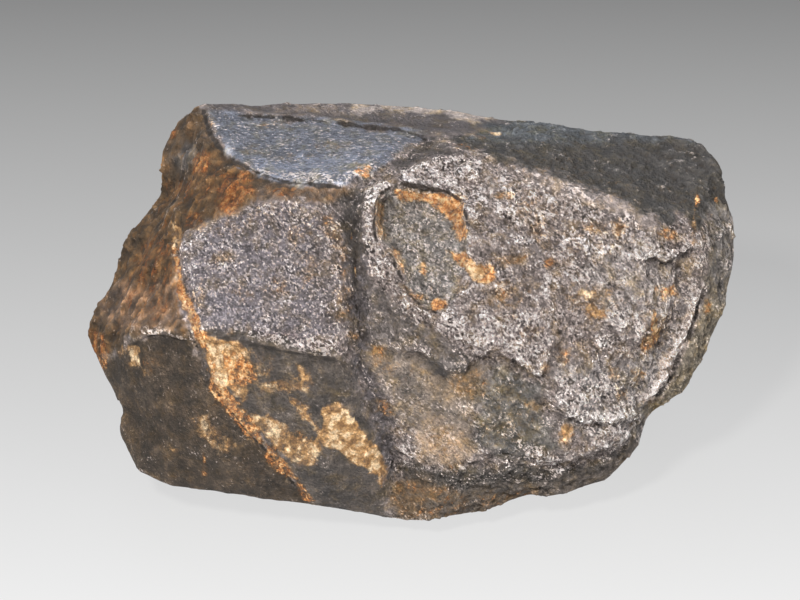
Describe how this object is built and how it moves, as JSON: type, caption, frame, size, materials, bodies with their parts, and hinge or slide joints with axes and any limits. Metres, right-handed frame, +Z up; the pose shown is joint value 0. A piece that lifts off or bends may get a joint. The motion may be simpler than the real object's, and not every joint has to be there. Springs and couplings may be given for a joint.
{
  "type": "bismutotantalite specimen",
  "caption": "Stout dark crystal group with flat and crusted faces, a filled vein, a gully and a shallow socket, lying on a flat break.",
  "frame": {"origin": "middle of the outer box, at the height of the flat break that the specimen lies on", "axes": "+X along the length, to the right of a viewer who faces the broad side; +Y away from that viewer; +Z up"},
  "size_m": [0.0325, 0.0188, 0.0166],
  "materials": {
    "mineral": "submetallic, sparkling and slightly rough, with orange-brown iron stain"
  },
  "bodies": {
    "root": {"crystal_group": "mineral"}
  },
  "joints": []
}
